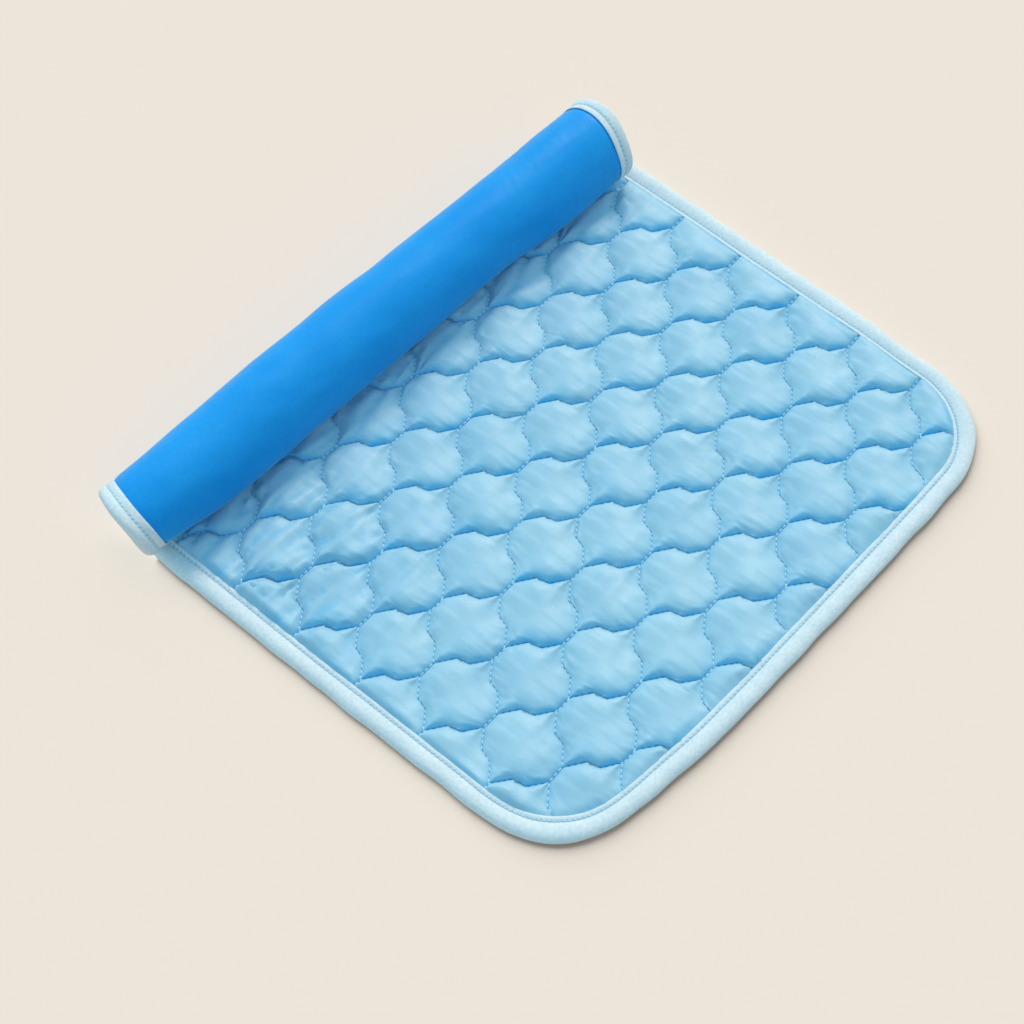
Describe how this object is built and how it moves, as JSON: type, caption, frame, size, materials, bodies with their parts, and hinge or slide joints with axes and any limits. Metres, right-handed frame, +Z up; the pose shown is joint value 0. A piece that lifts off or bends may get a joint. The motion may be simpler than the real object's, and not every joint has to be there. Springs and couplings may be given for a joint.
{
  "type": "quilted cooling pad",
  "caption": "Flat rectangular quilted cooling mat with rounded, tape-bound edges, a smooth backing and one end rolled up; it rests on its underside.",
  "frame": {"origin": "on the underside of the flat part, on the pad's centre line, halfway between the rolled end's far side and the free edge", "axes": "+X along the pad towards its free edge, +Y across it, +Z up from the underside"},
  "size_m": [0.3456, 0.4083, 0.052],
  "materials": {
    "cooling_cloth": "silky light-blue cool-touch cloth with a soft sheen",
    "wadding": "matte white fibre wadding",
    "satin_backing": "smooth deep-blue satin",
    "bias_binding": "pale-blue twill tape, matte",
    "thread": "light-blue polyester thread"
  },
  "bodies": {
    "flat_part": {"top_cover": "cooling_cloth", "wadding": "wadding", "backing": "satin_backing", "binding": "bias_binding", "quilting_thread": "thread"},
    "roll_1": {"top_cover_roll_1": "cooling_cloth", "wadding_roll_1": "wadding", "backing_roll_1": "satin_backing", "binding_left_roll_1": "bias_binding", "binding_right_roll_1": "bias_binding"},
    "roll_2": {"top_cover_roll_2": "cooling_cloth", "wadding_roll_2": "wadding", "backing_roll_2": "satin_backing", "binding_left_roll_2": "bias_binding", "binding_right_roll_2": "bias_binding"},
    "roll_3": {"top_cover_roll_3": "cooling_cloth", "wadding_roll_3": "wadding", "backing_roll_3": "satin_backing", "binding_left_roll_3": "bias_binding", "binding_right_roll_3": "bias_binding"},
    "roll_4": {"top_cover_roll_4": "cooling_cloth", "wadding_roll_4": "wadding", "backing_roll_4": "satin_backing", "binding_left_roll_4": "bias_binding", "binding_right_roll_4": "bias_binding"},
    "roll_5": {"top_cover_roll_5": "cooling_cloth", "wadding_roll_5": "wadding", "backing_roll_5": "satin_backing", "binding_left_roll_5": "bias_binding", "binding_right_roll_5": "bias_binding"},
    "roll_6": {"top_cover_roll_6": "cooling_cloth", "wadding_roll_6": "wadding", "backing_roll_6": "satin_backing", "binding_left_roll_6": "bias_binding", "binding_right_roll_6": "bias_binding"},
    "roll_7": {"top_cover_roll_7": "cooling_cloth", "wadding_roll_7": "wadding", "backing_roll_7": "satin_backing", "binding_left_roll_7": "bias_binding", "binding_right_roll_7": "bias_binding"},
    "roll_8": {"top_cover_roll_8": "cooling_cloth", "wadding_roll_8": "wadding", "backing_roll_8": "satin_backing", "binding_left_roll_8": "bias_binding", "binding_right_roll_8": "bias_binding"},
    "roll_9": {"top_cover_roll_9": "cooling_cloth", "wadding_roll_9": "wadding", "backing_roll_9": "satin_backing", "binding_left_roll_9": "bias_binding", "binding_right_roll_9": "bias_binding"},
    "roll_10": {"top_cover_roll_10": "cooling_cloth", "wadding_roll_10": "wadding", "backing_roll_10": "satin_backing", "binding_rolled_end": "bias_binding"}
  },
  "joints": [
    {"name": "unroll_1", "type": "hinge", "parent": "flat_part", "child": "roll_1", "pos_m": [-0.1468, 0, 0], "axis": [0, -1, 0], "range_deg": [0, 21.75]},
    {"name": "unroll_2", "type": "hinge", "parent": "roll_1", "child": "roll_2", "pos_m": [-0.16518, 0, 0.00762], "axis": [0, -1, 0], "range_deg": [0, 45]},
    {"name": "unroll_3", "type": "hinge", "parent": "roll_2", "child": "roll_3", "pos_m": [-0.1728, 0, 0.026], "axis": [0, -1, 0], "range_deg": [0, 45]},
    {"name": "unroll_4", "type": "hinge", "parent": "roll_3", "child": "roll_4", "pos_m": [-0.16518, 0, 0.04439], "axis": [0, -1, 0], "range_deg": [0, 45]},
    {"name": "unroll_5", "type": "hinge", "parent": "roll_4", "child": "roll_5", "pos_m": [-0.1468, 0, 0.052], "axis": [0, -1, 0], "range_deg": [0, 45]},
    {"name": "unroll_6", "type": "hinge", "parent": "roll_5", "child": "roll_6", "pos_m": [-0.12842, 0, 0.04439], "axis": [0, -1, 0], "range_deg": [0, 45]},
    {"name": "unroll_7", "type": "hinge", "parent": "roll_6", "child": "roll_7", "pos_m": [-0.1208, 0, 0.026], "axis": [0, -1, 0], "range_deg": [0, 45]},
    {"name": "unroll_8", "type": "hinge", "parent": "roll_7", "child": "roll_8", "pos_m": [-0.12619, 0, 0.01299], "axis": [0, -1, 0], "range_deg": [0, 45]},
    {"name": "unroll_9", "type": "hinge", "parent": "roll_8", "child": "roll_9", "pos_m": [-0.1392, 0, 0.0076], "axis": [0, -1, 0], "range_deg": [0, 45]},
    {"name": "unroll_10", "type": "hinge", "parent": "roll_9", "child": "roll_10", "pos_m": [-0.15224, 0, 0.013], "axis": [0, -1, 0], "range_deg": [0, 45]}
  ],
  "couplings": [
    {"joint": "unroll_2", "follows": "unroll_1", "ratio": 2},
    {"joint": "unroll_3", "follows": "unroll_1", "ratio": 2},
    {"joint": "unroll_4", "follows": "unroll_1", "ratio": 2},
    {"joint": "unroll_5", "follows": "unroll_1", "ratio": 2},
    {"joint": "unroll_6", "follows": "unroll_1", "ratio": 2},
    {"joint": "unroll_7", "follows": "unroll_1", "ratio": 2},
    {"joint": "unroll_8", "follows": "unroll_1", "ratio": 2},
    {"joint": "unroll_9", "follows": "unroll_1", "ratio": 2},
    {"joint": "unroll_10", "follows": "unroll_1", "ratio": 2}
  ]
}
